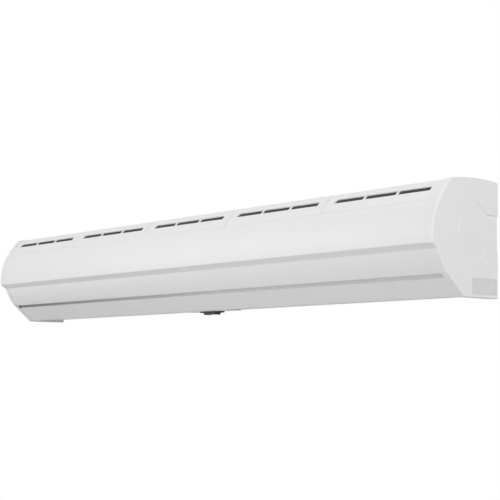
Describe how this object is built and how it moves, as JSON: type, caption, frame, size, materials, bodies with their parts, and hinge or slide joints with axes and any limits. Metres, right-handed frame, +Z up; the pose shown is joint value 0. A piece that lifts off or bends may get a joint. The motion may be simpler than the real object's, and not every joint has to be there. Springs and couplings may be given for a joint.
{
  "type": "air curtain",
  "caption": "Long wall-mounted cross-flow air curtain with slotted intake grilles, curved front, moulded end caps and a downward outlet with tilting louvres.",
  "frame": {"origin": "on the wall, at the middle of the rear face of the wall mounting plate", "axes": "+X along the unit to its right end seen from the front, +Y into the wall, +Z up; the front faces -Y"},
  "size_m": [1.5, 0.1939, 0.2324],
  "materials": {
    "white_plastic": "fine satin moulded ABS",
    "white_steel": "satin white powder coat",
    "galvanised": "zinc-coated sheet",
    "aluminium": "mill finish",
    "black_plastic": "satin",
    "grey_plastic": "satin",
    "rubber": "matt",
    "steel": "turned bright steel",
    "filter_net": "woven nylon net"
  },
  "bodies": {
    "housing": {"wall_plate": "galvanised", "rear_chassis": "white_steel", "end_plate_left": "galvanised", "end_plate_right": "galvanised", "bulkhead_left": "galvanised", "bulkhead_right": "galvanised", "end_cap_left": "white_plastic", "end_cap_right": "white_plastic", "rating_plate": "grey_plastic", "front_cover": "white_steel", "outlet_fascia": "white_steel", "intake_grille_1": "white_plastic", "intake_grille_2": "white_plastic", "intake_grille_3": "white_plastic", "intake_grille_4": "white_plastic", "intake_grille_5": "white_plastic", "dust_filter_1": "filter_net", "dust_filter_2": "filter_net", "dust_filter_3": "filter_net", "dust_filter_4": "filter_net", "dust_filter_5": "filter_net", "scroll_guide_left": "galvanised", "scroll_guide_right": "galvanised", "vortex_tongue_left": "galvanised", "vortex_tongue_right": "galvanised", "outlet_frame_left": "white_plastic", "outlet_frame_right": "white_plastic", "bearing_left": "steel", "bearing_right": "steel", "bearing_bush_left": "rubber", "bearing_bush_right": "rubber", "motor_housing": "galvanised", "motor_rubber_ring_left": "rubber", "motor_rubber_ring_right": "rubber", "motor_bracket_left": "galvanised", "motor_bracket_right": "galvanised", "control_panel": "white_plastic", "switch_base": "black_plastic", "capacitor": "grey_plastic", "capacitor_clip": "galvanised", "terminal_block": "grey_plastic", "motor_lead": "rubber", "switch_lead": "rubber", "cable_grommet": "rubber", "cap_screw_upper_left": "steel", "cap_screw_upper_right": "steel", "cap_screw_lower_left": "steel", "cap_screw_lower_right": "steel"},
    "fan_rotor": {"motor_shaft": "steel", "fan_wheel_left": "aluminium", "fan_wheel_right": "aluminium", "end_shaft_left": "steel", "end_shaft_right": "steel"},
    "louvre_front_left": {"louvre_front_left": "aluminium"},
    "louvre_rear_left": {"louvre_rear_left": "aluminium"},
    "louvre_link_left": {"louvre_link_left": "black_plastic"},
    "louvre_front_right": {"louvre_front_right": "aluminium"},
    "louvre_rear_right": {"louvre_rear_right": "aluminium"},
    "louvre_link_right": {"louvre_link_right": "black_plastic"},
    "rocker": {"switch_rocker": "black_plastic"}
  },
  "joints": [
    {"name": "fan_spin", "type": "hinge", "parent": "housing", "child": "fan_rotor", "pos_m": [0, -0.082, -0.0318], "axis": [1, 0, 0], "continuous": true},
    {"name": "left_front_louvre_tilt", "type": "hinge", "parent": "housing", "child": "louvre_front_left", "pos_m": [-0.4, -0.0775, -0.131], "axis": [1, 0, 0], "range_deg": [-30, 30]},
    {"name": "left_rear_louvre_tilt", "type": "hinge", "parent": "housing", "child": "louvre_rear_left", "pos_m": [-0.4, -0.0535, -0.131], "axis": [1, 0, 0], "range_deg": [-30, 30]},
    {"name": "left_link_swing", "type": "hinge", "parent": "louvre_front_left", "child": "louvre_link_left", "pos_m": [-0.0864, -0.0775, -0.123], "axis": [1, 0, 0], "range_deg": [-30, 30]},
    {"name": "right_front_louvre_tilt", "type": "hinge", "parent": "housing", "child": "louvre_front_right", "pos_m": [0.4, -0.0775, -0.131], "axis": [1, 0, 0], "range_deg": [-30, 30]},
    {"name": "right_rear_louvre_tilt", "type": "hinge", "parent": "housing", "child": "louvre_rear_right", "pos_m": [0.4, -0.0535, -0.131], "axis": [1, 0, 0], "range_deg": [-30, 30]},
    {"name": "right_link_swing", "type": "hinge", "parent": "louvre_front_right", "child": "louvre_link_right", "pos_m": [0.0864, -0.0775, -0.123], "axis": [1, 0, 0], "range_deg": [-30, 30]},
    {"name": "rocker_tip", "type": "hinge", "parent": "housing", "child": "rocker", "pos_m": [0, -0.08, -0.153], "axis": [0, 1, 0], "range_deg": [-8, 8]}
  ],
  "couplings": [
    {"joint": "left_rear_louvre_tilt", "follows": "left_front_louvre_tilt", "ratio": 1},
    {"joint": "left_link_swing", "follows": "left_front_louvre_tilt", "ratio": -1},
    {"joint": "right_rear_louvre_tilt", "follows": "right_front_louvre_tilt", "ratio": 1},
    {"joint": "right_link_swing", "follows": "right_front_louvre_tilt", "ratio": -1}
  ]
}
